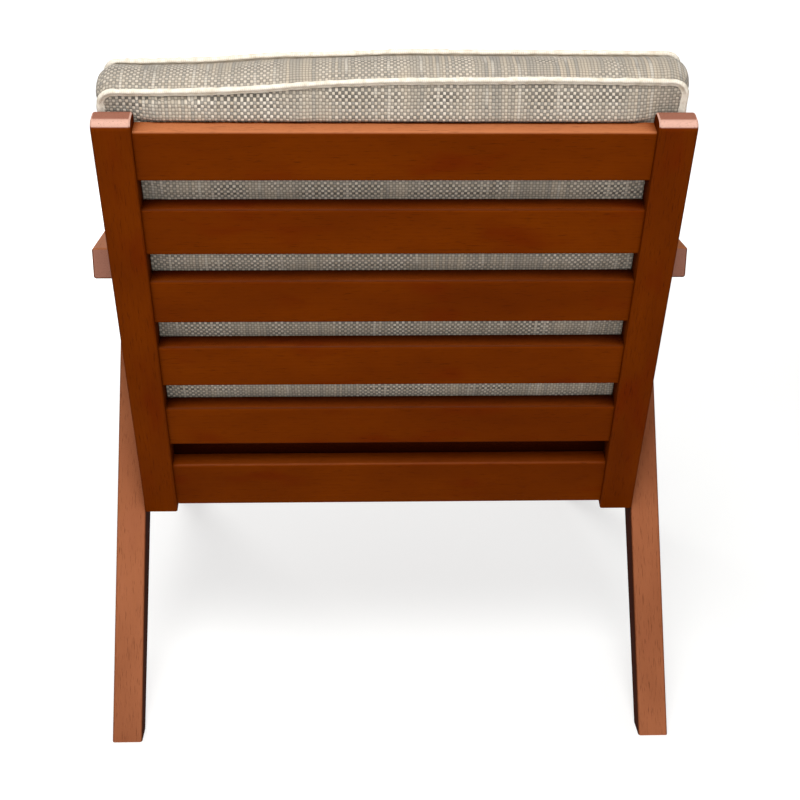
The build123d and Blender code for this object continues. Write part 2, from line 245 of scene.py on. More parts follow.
def makeHardwood(name, turn, values):
    # Stained hardwood, planed and sealed with a satin oil lacquer: warm red-brown, faint rings and short dark
    # pores along the piece, greyer end grain, painted light on open faces that look up, painted near-black
    # shade in the narrow gaps and on inner sides, and rounded edges with a painted pale highlight on the
    # stiles' tops and painted shade on the slats
    material, tree = newMaterial(name)
    place = addNode(tree, "TexCoord")
    piece = addNode(tree, "ObjectInfo")
    shift = addNode(
        tree, "VectorMath", {0: piece.outputs["Random"], 1: values["pieceShift"]}, operation="MULTIPLY"
    )
    turned = addNode(
        tree, "Mapping", {"Vector": place.outputs["Object"], "Rotation": turn}, vector_type="POINT"
    )
    moved = addNode(tree, "VectorMath", {0: turned, 1: shift}, operation="ADD")
    facing = addNode(
        tree, "Mapping", {"Vector": place.outputs["Normal"], "Rotation": turn}, vector_type="POINT"
    )
    # growth rings round a heart line beside the board, drawn out along the grain
    heart = addNode(tree, "VectorMath", {0: turned, 1: values["heartLine"]}, operation="ADD")
    drawnOut = addNode(
        tree, "VectorMath", {0: heart, 1: (1.0, 1.0, values["ringStretch"])}, operation="MULTIPLY"
    )
    ringPlace = addNode(tree, "VectorMath", {0: drawnOut, 1: shift}, operation="ADD")
    ringNoise = addNode(
        tree,
        "TexNoise",
        {"Vector": ringPlace, "Scale": values["wandersPerMetre"], "Detail": 3.0, "Roughness": 0.55},
    )
    wander = (values["ringWander"], values["ringWander"], 0.0)
    ringPush = addNode(tree, "VectorMath", {0: ringNoise.outputs["Color"], 1: wander}, operation="MULTIPLY")
    ringField = addNode(tree, "VectorMath", {0: drawnOut, 1: ringPush}, operation="ADD")
    rings = addNode(
        tree,
        "TexWave",
        {"Vector": ringField, "Scale": waveRepeat / values["ringSpacing"], "Distortion": 0.6, "Detail": 2.0},
        wave_type="RINGS",
        rings_direction="Z",
        wave_profile="SAW",
    )
    # pores: short dashes that follow the grain and show as dots on the end grain
    poreScale = (1000 / values["poreWidth"], 1000 / values["poreWidth"], 1000 / values["poreLength"])
    porePlace = addNode(tree, "VectorMath", {0: moved, 1: poreScale}, operation="MULTIPLY")
    pores = addNode(tree, "TexNoise", {"Vector": porePlace, "Scale": 1.0, "Detail": 2.0, "Roughness": 0.5})
    start, full = values["poreFrom"]
    poreMask = addNode(tree, "MapRange", {0: pores, 1: start, 2: full}, interpolation_type="SMOOTHSTEP")
    # slow tone changes and the red patches of uneven stain
    perMetre = 1000 / values["patchSize"]
    patchScale = (perMetre, perMetre, perMetre / values["patchStretch"])
    patchPlace = addNode(tree, "VectorMath", {0: moved, 1: patchScale}, operation="MULTIPLY")
    tone = addNode(tree, "TexNoise", {"Vector": patchPlace, "Scale": 1.0, "Detail": 3.0, "Roughness": 0.6})
    patch = addNode(tree, "TexNoise", {"Vector": patchPlace, "Scale": 2.3, "Detail": 2.0})
    start, full = values["patchFrom"]
    patchMask = addNode(
        tree,
        "MapRange",
        {0: patch, 1: start, 2: full, 4: values["patchShare"]},
        interpolation_type="SMOOTHSTEP",
    )
    toneShare = addNode(tree, "MapRange", {0: tone, 1: 0.3, 2: 0.7})
    ground = addNode(
        tree,
        "Mix",
        {0: toneShare, 6: linear(values["deepStain"]), 7: linear(values["stain"])},
        data_type="RGBA",
    )
    ringShare = addNode(tree, "Math", {0: rings.outputs["Fac"], 1: values["ringShare"]}, operation="MULTIPLY")
    ringed = addNode(
        tree, "Mix", {0: ringShare, 6: ground.outputs[2], 7: linear(values["deepStain"])}, data_type="RGBA"
    )
    patched = addNode(
        tree, "Mix", {0: patchMask, 6: ringed.outputs[2], 7: linear(values["redPatch"])}, data_type="RGBA"
    )
    # painted light: open faces that look upwards are lightened towards a paler lit colour
    normal = addNode(tree, "SeparateXYZ", {0: place.outputs["Normal"]})
    sky = addNode(tree, "AmbientOcclusion", {"Distance": values["skyReach"]}, samples=6)
    start, full = values["openFrom"]
    openness = addNode(tree, "MapRange", {0: sky.outputs["AO"], 1: start, 2: full})
    upward = addNode(
        tree, "MapRange", {0: normal.outputs["Z"], 1: 0.0, 2: values["topLightUpward"], 4: values["topLightShare"]}
    )
    lightByTone = addNode(tree, "MapRange", {0: tone, 1: 0.2, 2: 0.8, 3: values["topLightLow"], 4: 1.0})
    upOpen = addNode(tree, "Math", {0: upward, 1: openness}, operation="MULTIPLY")
    topLightMask = addNode(tree, "Math", {0: upOpen, 1: lightByTone}, operation="MULTIPLY")
    topLit = addNode(
        tree, "Mix", {0: topLightMask, 6: patched.outputs[2], 7: linear(values["paintedTopLight"])}, data_type="RGBA"
    )
    # painted highlight and shade on rounded edges, whose normals lie between those of a side and of a top
    start, full = values["paintedEdgeFrom"]
    bandIn = addNode(
        tree,
        "MapRange",
        {0: normal.outputs["Z"], 1: start, 2: full, 4: values["paintedEdgeShare"]},
        interpolation_type="SMOOTHSTEP",
    )
    start, full = values["paintedEdgeTo"]
    bandOut = addNode(
        tree,
        "MapRange",
        {0: normal.outputs["Z"], 1: start, 2: full, 3: 1.0, 4: 0.0},
        interpolation_type="SMOOTHSTEP",
    )
    band = addNode(tree, "Math", {0: bandIn, 1: bandOut}, operation="MULTIPLY")
    edgePainted = addNode(tree, "Mix", {0: band, 6: topLit.outputs[2], 7: linear(values["paintedEdge"])}, data_type="RGBA")
    # end grain, weathered paler and greyer than the faces
    along = addNode(tree, "SeparateXYZ", {0: facing})
    across = addNode(tree, "Math", {0: along.outputs["Z"]}, operation="ABSOLUTE")
    start, full = values["endFrom"]
    endShare = values["endShare"] * (1 - values["paintedEdgeShare"])
    endMask = addNode(
        tree, "MapRange", {0: across, 1: start, 2: full, 4: endShare}, interpolation_type="SMOOTHSTEP"
    )
    ended = addNode(
        tree, "Mix", {0: endMask, 6: edgePainted.outputs[2], 7: linear(values["endGrain"])}, data_type="RGBA"
    )
    poreShare = addNode(tree, "Math", {0: poreMask, 1: values["poreShare"]}, operation="MULTIPLY")
    pored = addNode(
        tree, "Mix", {0: poreShare, 6: ended.outputs[2], 7: linear(values["poreColour"])}, data_type="RGBA"
    )
    # painted shade: sides that look towards the chair's middle are darkened
    spot = addNode(tree, "SeparateXYZ", {0: place.outputs["Object"]})
    inward = addNode(tree, "Math", {0: spot.outputs["X"], 1: normal.outputs["X"]}, operation="MULTIPLY")
    start, end = values["innerFrom"]
    innerShare = addNode(tree, "MapRange", {0: inward, 1: start, 2: end, 3: values["innerShade"], 4: 0.0})
    shaded = addNode(
        tree, "Mix", {0: innerShare, 6: pored.outputs[2], 7: linear(values["paintedShade"])}, data_type="RGBA"
    )
    # painted shade: where other pieces close most of the sky, in narrow gaps and recesses, the colour darkens
    # nearly to black
    darkest, clean = values["gapShadeFrom"]
    closed = addNode(
        tree, "MapRange", {0: sky.outputs["AO"], 1: darkest, 2: clean, 3: values["gapShadeShare"], 4: 0.0}
    )
    colour = addNode(
        tree, "Mix", {0: closed, 6: shaded.outputs[2], 7: linear(values["paintedShade"])}, data_type="RGBA"
    )
    low, high = values["roughness"]
    rough = addNode(tree, "MapRange", {0: pores, 1: 0.3, 2: 0.7, 3: low, 4: high})
    height = addNode(tree, "Math", {0: poreMask, 1: -1.0, 2: ringShare}, operation="MULTIPLY_ADD")
    bump = addNode(tree, "Bump", {"Strength": 0.35, "Distance": values["reliefDepth"], "Height": height})
    wood = addNode(
        tree,
        "BsdfPrincipled",
        {
            "Base Color": colour.outputs[2],
            "Roughness": rough,
            "IOR": 1.5,
            "Specular IOR Level": 0.0,
            "Coat Weight": values["coat"],
            "Coat Roughness": values["coatRoughness"],
            "Normal": bump,
        },
    )
    addNode(tree, "OutputMaterial", {"Surface": wood})
    return material


# name, degrees that bring the pieces' length upright (about Y for those that lie across the chair, else about
# X), values, pieces
woodParts = [
    ("TopSlat", (0, -90, 0), topSlatWood, ["back_slat_1"]),
    ("BackSlats", (0, -90, 0), shadedWood, ["back_slat_%d" % i for i in range(2, 6)]),
    ("BottomRail", (0, -90, 0), bottomRailWood, ["back_bottom_rail"]),
    ("SeatSlats", (0, -90, 0), shadedWood, ["seat_slat_%d" % i for i in range(1, 8)]),
    ("FrontRail", (0, -90, 0), hardwood, ["front_rail"]),
    ("RearRail", (0, -90, 0), rearRailWood, ["rear_rail"]),
    ("Stile", (19.8, 0, 0), stileWood, ["back_stile_left", "back_stile_right"]),
    ("RearLeg", (-30.87, 0, 0), legWood, ["rear_leg_left", "rear_leg_right"]),
    ("FrontLeg", (30.87, 0, 0), hardwood, ["front_leg_left", "front_leg_right"]),
    ("Armrest", (90, 0, 0), hardwood, ["armrest_left", "armrest_right"]),
    ("SideRail", (93, 0, 0), hardwood, ["side_rail_left", "side_rail_right"]),
]
for part, turn, values, names in woodParts:
    material = makeHardwood("lacqueredHardwood" + part, tuple(math.radians(a) for a in turn), values)
    for name in names:
        nodes[name].data.materials.clear()
        nodes[name].data.materials.append(material)
print("wood finished on", sum(len(names) for *_, names in woodParts), "nodes")

# Fastenings
fastenings = {
    "zincColour": "#B9BBBC",
    "zincRoughness": 0.28,
    "brassColour": "#C8A45A",
    "brassRoughness": 0.3,
    "turnMarks": 0.35,  # mm, coarser than a lathe's, which would not show
    "cloudsPerMetre": 260.0,
    "handledShade": 0.62,  # colour of the handled places beside that of the clean metal
}


def makeFastener(name, colour, roughness, values):
    # Turned metal: fine rings left by the lathe and small cloudy marks from handling break up the reflection
    material, tree = newMaterial(name)
    place = addNode(tree, "TexCoord")
    lathe = addNode(
        tree,
        "TexWave",
        {
            "Vector": place.outputs["Object"],
            "Scale": waveRepeat / values["turnMarks"],
            "Distortion": 1.5,
            "Detail": 2.0,
        },
        wave_type="BANDS",
        bands_direction="X",
    )
    cloud = addNode(
        tree, "TexNoise", {"Vector": place.outputs["Object"], "Scale": values["cloudsPerMetre"], "Detail": 4.0}
    )
    share = addNode(tree, "MapRange", {0: cloud, 1: 0.35, 2: 0.7})
    handled = (*(values["handledShade"] * c for c in linear(colour)[:3]), 1.0)
    tint = addNode(tree, "Mix", {0: share, 6: linear(colour), 7: handled}, data_type="RGBA")
    rough = addNode(tree, "MapRange", {0: cloud, 1: 0.3, 2: 0.7, 3: roughness, 4: roughness + 0.2})
    bump = addNode(tree, "Bump", {"Strength": 0.2, "Distance": 0.0001, "Height": lathe.outputs["Fac"]})
    metal = addNode(
        tree,
        "BsdfPrincipled",
        {"Base Color": tint.outputs[2], "Metallic": 1.0, "Roughness": rough, "Normal": bump},
    )
    addNode(tree, "OutputMaterial", {"Surface": metal})
    return material


for name, finish, colour, roughness in (
    ("leg_bolts", "turnedZincPlatedSteel", fastenings["zincColour"], fastenings["zincRoughness"]),
    ("leg_inserts", "turnedBrass", fastenings["brassColour"], fastenings["brassRoughness"]),
):
    nodes[name].data.materials.clear()
    nodes[name].data.materials.append(makeFastener(finish, colour, roughness, fastenings))
print("fastenings finished")

# Cushions. Lengths are millimetres in each cushion's own frame: x across, y up the back or towards the rear, z
# out from the side that rests. Both seams lie on the same outline
cushions = {
    "halfWidth": 292.0,
    "boxing": 60.0,
    "corner": 11.0,
    "sideBulge": 10.0,
    "sideDraw": 3.0,  # how far the middles of the sides draw in
    "crownInset": 110.0,
    "frontCrown": 14.0,
    "restCrown": 5.0,
    "panelInsets": (110, 80, 55, 35, 20, 9, 3, 0),  # rings of points on the panels, from the outline inwards
    "boxingRows": 12,
    "cornerEase": 0.12,  # how much tighter the corners of the inner rings are
    "leastCorner": 8.0,
    "startShare": 0.72,  # share of crown and bulge before the cover is blown up
    "seamSamples": 1200,
    "voxel": 5.0,
    "cloth": {
        "quality": 6,
        "mass": 0.3,
        "tension_stiffness": 14,
        "compression_stiffness": 14,
        "shear_stiffness": 5,
        "bending_stiffness": 0.6,
        "uniform_pressure_force": 4.0,
    },
    "steps": 20,
    "mostMove": 6.0,
    "seamHold": 3.6,  # points this near a seam are sewn fast
    "seamZone": 45.0,  # width of the puckered and filled zone
    "puckerDepth": 0.55,
    "cornerPucker": 1.7,
    "puckerLength": 13.0,
    "puckerReach": 11.0,
    "puckerFrom": 3.5,  # distance from a seam at which the puckers are in full
    "puckerTighter": 0.45,  # how much shorter they are at the corners
    "dentDepth": 1.1,
    "dentSize": 95.0,
    "dentFrom": 40.0,  # distance from a seam at which the dents are in full
    "cornerFill": 4.0,  # how far the filling presses the boxing out at the free corners
    "restZone": 4.5,  # the cover rests where it lies below this
    "restGap": 0.05,  # and stays this far off the slats
    "gapDip": 2.6,  # how far the cover settles between two slats
    "fullDipHalf": 17.0,  # half the width of a gap in which it settles in full
    "dipEase": 22.0,  # over this length the dip ends beside the stiles
    "overhang": 8.0,  # how far it swells back over the top slat
    "overhangRise": 3.5,
    "overhangHalf": 268.0,
    "overhangEase": 24.0,
    "leftFill": 4.0,  # how far the top's left end is pressed out
    "rightDraw": 2.5,  # and its right end drawn in
    "droopFrom": -20.0,  # height on the back from which the uneven top takes part
    "droopOver": 230.0,
    "liftSmoothing": 15,  # steps of 5 mm over which the lifts below are smoothed
}
# How far the back cushion's two seams rise along its top, read from the photograph: place across, rest seam,
# front seam
topLifts = [
    (-300, -2.0, -1.3),
    (-261, 0.2, 0.6),
    (-148, 3.4, 2.8),
    (-4, 3.0, 4.1),
    (68, 0.0, 0.9),
    (112, -4.2, -0.2),
    (132, -6.4, -1.2),
    (184, -10.2, -6.8),
    (230, -11.6, -8.8),
    (265, -13.2, -10.6),
    (300, -13.0, -10.0),
]
placings = {
    "back": {
        "body": "back_cushion",
        "halfLength": 234.4,
        "origin": (0.0, 210.77, 247.2),
        "along": (0.0, 0.338738, 0.940881),
        "out": (0.0, -0.940881, 0.338738),
        "offset": (336.67, 30.3),
        "restPanel": "rear_panel",
        "frontPanel": "front_panel",
        "restCord": "rear_piping",
        "frontCord": "front_piping",
        "slats": ["back_slat_%d" % i for i in range(1, 6)] + ["back_bottom_rail"],
        "slatHalf": 265.0,
        "freeEnd": 1,
        "seed": 3.0,
    },
    "seat": {
        "body": "seat_cushion",
        "halfLength": 248.66,
        "origin": (0.0, 215.40, 348.63),
        "along": (0.0, 0.99863, -0.052336),
        "out": (0.0, 0.052336, 0.99863),
        "offset": (-326.34, -1.2),
        "restPanel": "lower_panel",
        "frontPanel": "upper_panel",
        "restCord": "lower_piping",
        "frontCord": "upper_piping",
        "slats": ["seat_slat_%d" % i for i in range(1, 8)],
        "slatHalf": 277.0,
        "freeEnd": -1,
        "seed": 11.0,
    },
}


def cushionMatrix(placing):
    along, out = Vector(placing["along"]), Vector(placing["out"])
    origin = Vector(placing["origin"]) + along * placing["offset"][0] + out * placing["offset"][1]
    axes = Matrix((Vector((1, 0, 0)), along, out)).transposed().to_4x4()
    return Matrix.Translation(origin / 1000) @ axes


def outlineLoop(halfX, halfY, corner, draw, sideSteps=36, cornerSteps=10):
    # Rounded rectangle whose sides draw in towards their middles, from the lower right and counter-clockwise
    points = []
    for quarter in range(4):
        a, b = (halfX, halfY) if quarter % 2 == 0 else (halfY, halfX)
        straight = b - corner
        local = []
        for i in range(sideSteps):
            t = -1 + 2 * i / sideSteps
            local.append((a - draw * (1 - t * t), straight * t))
        for i in range(cornerSteps):
            angle = math.pi / 2 * i / cornerSteps
            local.append((a - corner + corner * math.cos(angle), straight + corner * math.sin(angle)))
        c, s = [(1, 0), (0, 1), (-1, 0), (0, -1)][quarter]
        points += [(x * c - y * s, x * s + y * c) for x, y in local]
    return np.array(points)


def evenLoop(points, count):
    # The same closed line with count points at even distances
    closed = np.vstack([points, points[:1]])
    lengths = np.concatenate([[0], np.cumsum(np.linalg.norm(np.diff(closed, axis=0), axis=1))])
    marks = np.linspace(0, lengths[-1], count, endpoint=False)
    return np.stack([np.interp(marks, lengths, closed[:, i]) for i in range(closed.shape[1])], axis=1)


def crown(inset, rise, values):
    share = min(1.0, inset / values["crownInset"])
    return rise * (1 - (1 - share) ** 2)


def startForm(placing, values, share):
    # Closed form of crowned panels and bulging boxing, a little slacker than the finished cushion
    halfX, halfY = values["halfWidth"], placing["halfLength"]
    low = values["restCrown"]
    high = low + values["boxing"]
    rings = []
    for inset in values["panelInsets"]:
        corner = max(values["corner"] - inset * values["cornerEase"], values["leastCorner"])
        loop = outlineLoop(halfX - inset, halfY - inset, corner, values["sideDraw"])
        rings.append((loop, low - crown(inset, values["restCrown"] * share, values)))
    for i in range(1, values["boxingRows"]):
        t = i / values["boxingRows"]
        bulge = 4 * t * (1 - t) * values["sideBulge"] * share
        loop = outlineLoop(halfX + bulge, halfY + bulge, values["corner"] + bulge, values["sideDraw"])
        rings.append((loop, low + t * values["boxing"]))
    for inset in reversed(values["panelInsets"]):
        corner = max(values["corner"] - inset * values["cornerEase"], values["leastCorner"])
        loop = outlineLoop(halfX - inset, halfY - inset, corner, values["sideDraw"])
        rings.append((loop, high + crown(inset, values["frontCrown"] * share, values)))
    count = len(rings[0][0])
    points = np.vstack([np.column_stack([loop, np.full(count, height)]) for loop, height in rings])
    faces = [tuple(range(count - 1, -1, -1))]
    for r in range(len(rings) - 1):
        for i in range(count):
            j = (i + 1) % count
            faces.append((r * count + i, r * count + j, (r + 1) * count + j, (r + 1) * count + i))
    faces.append(tuple(range((len(rings) - 1) * count, len(rings) * count)))
    return points, faces


def readPoints(mesh):
    points = np.empty(len(mesh.vertices) * 3, np.float32)
    mesh.vertices.foreach_get("co", points)
    return points.reshape(-1, 3).astype(float)


def writePoints(mesh, points):
    mesh.vertices.foreach_set("co", points.astype(np.float32).ravel())
    mesh.update()


def readNormals(mesh):
    normals = np.empty(len(mesh.vertices) * 3, np.float32)
    mesh.vertex_normals.foreach_get("vector", normals)
    return normals.reshape(-1, 3).astype(float)


def bakeModifiers(piece):
    scene.view_layers[0].update()
    mesh = bpy.data.meshes.new_from_object(piece.evaluated_get(bpy.context.evaluated_depsgraph_get()))
    old = piece.data
    piece.modifiers.clear()
    piece.data = mesh
    bpy.data.meshes.remove(old)


def seamLine(placing, values, height):
    loop = outlineLoop(values["halfWidth"], placing["halfLength"], values["corner"], values["sideDraw"])
    loop = evenLoop(loop, values["seamSamples"])
    return np.column_stack([loop, np.full(len(loop), height)])


def seamTree(placing, values):
    samples, low = values["seamSamples"], values["restCrown"]
    tree = KDTree(2 * samples)
    for number, height in enumerate((low, low + values["boxing"])):
        for i, point in enumerate(seamLine(placing, values, height)):
            tree.insert(point, number * samples + i)
    tree.balance()
    return tree


def cushionWarp(points, placing):
    # Hand-filled cushions are never quite square: the top of the back cushion droops at one end
    if placing["body"] != "back_cushion":
        return points
    x, y, z = points[:, 0], points[:, 1], points[:, 2]
    reach = np.clip((y - cushions["droopFrom"]) / cushions["droopOver"], 0, 1) ** 2
    fine = np.linspace(-320, 320, 129)
    kernel = np.hanning(cushions["liftSmoothing"])
    kernel /= kernel.sum()
    marks, restLift, frontLift = np.array(topLifts).T
    restSmooth, frontSmooth = (
        np.convolve(np.pad(np.interp(fine, marks, lift), len(kernel) // 2, mode="edge"), kernel, mode="valid")
        for lift in (restLift, frontLift)
    )
    depth = np.clip((z - cushions["restCrown"]) / cushions["boxing"], 0, 1)
    lift = (1 - depth) * np.interp(x, fine, restSmooth) + depth * np.interp(x, fine, frontSmooth)
    end = topLifts[-1][0]
    filled = cushions["leftFill"] * np.clip(x / end, 0, 1)
    drawn = cushions["rightDraw"] * np.clip(-x / end, 0, 1) * depth
    moved = points.copy()
    moved[:, 1] += reach * lift
    moved[:, 0] += reach * (filled - drawn)
    return moved


def slatSpans(placing):
    # Where each slat lies along the cushion, in its frame
    inverse = cushionMatrix(placing).inverted()
    spans = []
    for name in placing["slats"]:
        heights = [(inverse @ v.co).y * 1000 for v in nodes[name].data.vertices]
        spans.append((min(heights), max(heights)))
    return sorted(spans)


def restLimit(points, placing, values):
    # Lowest z the cover may reach: the slats, with a shallow dip between two of them and a swell above the last
    x, y = points[:, 0], points[:, 1]
    limit = np.zeros(len(points))
    spans = slatSpans(placing)
    if placing["body"] == "back_cushion":
        above = np.clip(y - spans[-1][1], 0, None)
        share = np.clip(above / (placing["halfLength"] - spans[-1][1]), 0, 1)
        swell = np.sin(math.pi / 2 * np.clip(above / values["overhangRise"], 0, 1)) * (1 - share)
        across = np.clip((values["overhangHalf"] - np.abs(x)) / values["overhangEase"], 0, 1)
        limit -= values["overhang"] * swell * across
    inner = np.clip((placing["slatHalf"] - np.abs(x)) / values["dipEase"], 0, 1)
    for (_, low), (high, _) in zip(spans, spans[1:]):
        middle, half = (low + high) / 2, (high - low) / 2
        share = np.clip(1 - ((y - middle) / max(half, 1)) ** 2, 0, 1)
        dip = values["gapDip"] * min(1.0, half / values["fullDipHalf"])
        limit -= dip * share**1.5 * inner**1.5
    return limit


def blowUp(piece, placing, values, tree):
    start = readPoints(piece.data)
    held = piece.vertex_groups.new(name="seams")
    for i, point in enumerate(start):
        _, _, distance = tree.find(Vector(point * 1000))
        if distance < values["seamHold"]:
            held.add([i], 1.0, "REPLACE")
    cloth = piece.modifiers.new("cover", "CLOTH")
    settings = cloth.settings
    settings.use_pressure = True
    for name, value in values["cloth"].items():
        setattr(settings, name, value)
    settings.effector_weights.gravity = 0
    settings.vertex_group_mass = "seams"
    cloth.point_cache.frame_start = 1
    cloth.point_cache.frame_end = values["steps"]
    for step in range(1, values["steps"] + 1):
        scene.frame_set(step)
    bakeModifiers(piece)
    scene.frame_set(1)
    moved = readPoints(piece.data) - start
    length = np.linalg.norm(moved, axis=1)
    most = values["mostMove"] / 1000
    largest, mean = (round(v * 1000, 1) for v in (length.max(), length.mean()))
    print("cover moved at most", largest, "mm, in the mean", mean)
    moved *= (most * np.tanh(length / most) / np.maximum(length, 1e-9))[:, None]
    writePoints(piece.data, start + moved)


def makeCover(name, placing, values):
    points, faces = startForm(placing, values, values["startShare"])
    mesh = bpy.data.meshes.new(name)
    mesh.from_pydata((points / 1000).tolist(), [], faces)
    piece = bpy.data.objects.new(name, mesh)
    scene.collection.objects.link(piece)
    remesh = piece.modifiers.new("voxels", "REMESH")
    remesh.mode = "VOXEL"
    remesh.voxel_size = values["voxel"] / 1000
    bakeModifiers(piece)
    tree = seamTree(placing, values)
    blowUp(piece, placing, values, tree)
    finer = piece.modifiers.new("finer", "SUBSURF")
    finer.levels = finer.render_levels = 1
    bakeModifiers(piece)
    shapeCover(piece, placing, values, tree)
    piece.data.polygons.foreach_set("use_smooth", [True] * len(piece.data.polygons))
    piece.data.update()
    piece.matrix_world = cushionMatrix(placing)
    return piece


def shapeCover(piece, placing, values, tree):
    # Puckers along the corded seams, soft dents in the panels, and the flat that rests on the slats
    mesh = piece.data
    points = readPoints(mesh) * 1000
    normals = readNormals(mesh)
    halfX, halfY = values["halfWidth"], placing["halfLength"]
    perimeter = 2 * (2 * halfX + 2 * halfY) - 8 * values["corner"] + 2 * math.pi * values["corner"]
    push = np.zeros(len(points))
    seed, zone, samples = placing["seed"], values["seamZone"], values["seamSamples"]
    for i, point in enumerate(points):
        found, index, distance = tree.find(Vector(point))
        soft = min(1.0, distance / values["dentFrom"])
        scaled = Vector(point) / values["dentSize"] + Vector((seed, 0, seed))
        if distance < zone:
            along = (index % samples) / samples * perimeter
            nearSide = max(0.0, min(1.0, 1 - (halfX - abs(found.x)) / zone))
            nearEnd = max(0.0, min(1.0, 1 - (halfY - abs(found.y)) / zone))
            cornerness = nearSide * nearEnd
            side = 1.0 if index >= samples else 2.0
            phase = along / values["puckerLength"] * (1 + values["puckerTighter"] * cornerness)
            wave = noise(Vector((phase, seed + side, point[2] / 60)))
            wave += 0.6 * noise(Vector((phase * 2.1, seed - side, point[2] / 40)))
            depth = values["puckerDepth"] + (values["cornerPucker"] - values["puckerDepth"]) * cornerness
            away = math.exp(-distance / (values["puckerReach"] * (1 + cornerness)))
            away *= min(1.0, distance / values["puckerFrom"])
            push[i] += depth * wave * away
            rise = max(0.0, min(1.0, (point[2] - values["restCrown"]) / values["boxing"]))
            free = 1.0 if point[1] * placing["freeEnd"] > 0 else 0.0
            push[i] += values["cornerFill"] * free * cornerness * 4 * rise * (1 - rise)
        push[i] += values["dentDepth"] * soft * (noise(scaled) + 0.4 * noise(scaled * 2.3))
    points += normals * push[:, None]
    limit = restLimit(cushionWarp(points, placing), placing, values)
    # the resting panel lies flat on the slats and settles into the gaps between them
    near = points[:, 2] < values["restZone"]
    points[near, 2] = np.maximum(points[near, 2], values["restGap"])
    inside = near & (normals[:, 2] < -0.5)
    points[inside, 2] += limit[inside]
    writePoints(mesh, cushionWarp(points, placing) / 1000)


cords = {
    "radius": 3.0,
    "outset": 3.2,
    "tongue": 1.9,  # how far the cord's seam allowance reaches into the seam
    "tongueFrom": 0.6,  # share of the radius beyond which the tongue starts
    "ring": 14,
    "samples": 1050,
    "wander": 0.55,  # how far the cord strays from the seam's line
    "rippleLength": 6.5,
    "ripple": 0.75,
    "thickening": 0.02,  # share of the radius by which the cord is thicker in places
}


def makeCord(name, placing, values, height):
    # Fabric-covered cord: a round edge with a flat tongue that is sewn between panel and boxing
    outset, corner = values["outset"], cushions["corner"]
    loop = outlineLoop(
        cushions["halfWidth"] + outset, placing["halfLength"] + outset, corner + outset, cushions["sideDraw"]
    )
    loop = evenLoop(loop, values["samples"])
    ahead = np.roll(loop, -1, axis=0) - np.roll(loop, 1, axis=0)
    ahead /= np.linalg.norm(ahead, axis=1)[:, None]
    outward = np.column_stack([ahead[:, 1], -ahead[:, 0]])
    length = len(loop) * np.linalg.norm(np.diff(loop, axis=0), axis=1).mean()
    # noise is read along a circle, so that it meets itself where the cord closes
    rippleCircle = length / values["rippleLength"] / 6.28
    seed = placing["seed"] * 1.7 + height / 9
    points = []
    for i in range(len(loop)):
        angle = 2 * math.pi * i / len(loop)
        circle = Vector((math.cos(angle), math.sin(angle), 0))
        slow = noise(circle * 5 + Vector((0, 0, seed))) + 0.5 * noise(circle * 14 + Vector((0, 0, seed)))
        lift = noise(circle * 6 + Vector((0, 0, seed + 9)))
        fine = noise(circle * rippleCircle + Vector((0, 0, seed + 4)))
        aside = loop[i] + outward[i] * values["wander"] * slow * 0.5
        centre = np.array([*aside, height + values["wander"] * lift])
        radius = values["radius"] * (1 + values["thickening"] * slow) + values["ripple"] * fine
        out = np.array([*outward[i], 0])
        for k in range(values["ring"]):
            turn = 2 * math.pi * k / values["ring"]
            across, rise = math.cos(turn), math.sin(turn)
            if across < -values["tongueFrom"]:  # the tongue, thin and reaching inwards
                inwards = (-across - values["tongueFrom"]) / (1 - values["tongueFrom"])
                reach = radius * across - values["tongue"] * inwards
                points.append(centre + out * reach + np.array([0, 0, radius * rise * (0.8 + across) * 1.5]))
            else:
                points.append(centre + out * radius * across + np.array([0, 0, radius * rise]))
    ring, count = values["ring"], len(loop)
    faces = []
    for i in range(count):
        j = (i + 1) % count
        for k in range(ring):
            m = (k + 1) % ring
            faces.append((i * ring + k, j * ring + k, j * ring + m, i * ring + m))
    points = cushionWarp(np.array(points), placing)
    mesh = bpy.data.meshes.new(name)
    mesh.from_pydata((points / 1000).tolist(), [], faces)
    mesh.polygons.foreach_set("use_smooth", [True] * len(mesh.polygons))
    mesh.update()
    piece = bpy.data.objects.new(name, mesh)
    scene.collection.objects.link(piece)
    piece.matrix_world = cushionMatrix(placing)
    return piece


# Woven cover: a coarse cloth of thick slub yarns, lengths in mm
coverWeave = {
    "yarnSpacing": 3.3,  # mm, coarser than real yarns of about 1.5 mm, so that the checks show in the picture
    "paleYarn": "#E8DDCD",
    "warmYarn": "#C8B9A4",
    "greyYarn": "#A09A90",
    "darkYarn": "#69635B",
    "slubLength": 38.0,
    "slubSpread": 0.43,  # how much a slub differs from one yarn to the next
    "patchSize": 62.0,
    "patchFrom": (0.42, 0.6),
    "patchCalm": 0.7,  # how far the two yarns meet in shade in the calm patches
    "boxingCalm": 0.35,
    "streakShare": 0.55,
    "streakFrom": 0.84,  # warp yarns with a shade number above this are thick and pale in places
    "yarnDrift": 0.0028,  # metres
    "driftsPerMetre": 42.0,
    "reliefDepth": 0.0006,  # metres
    "roughness": (0.82, 0.95),
    "fibreHaze": 0.12,
    "hollowShade": 0.52,  # how dark the painted shade in the hollows between the yarns is
}


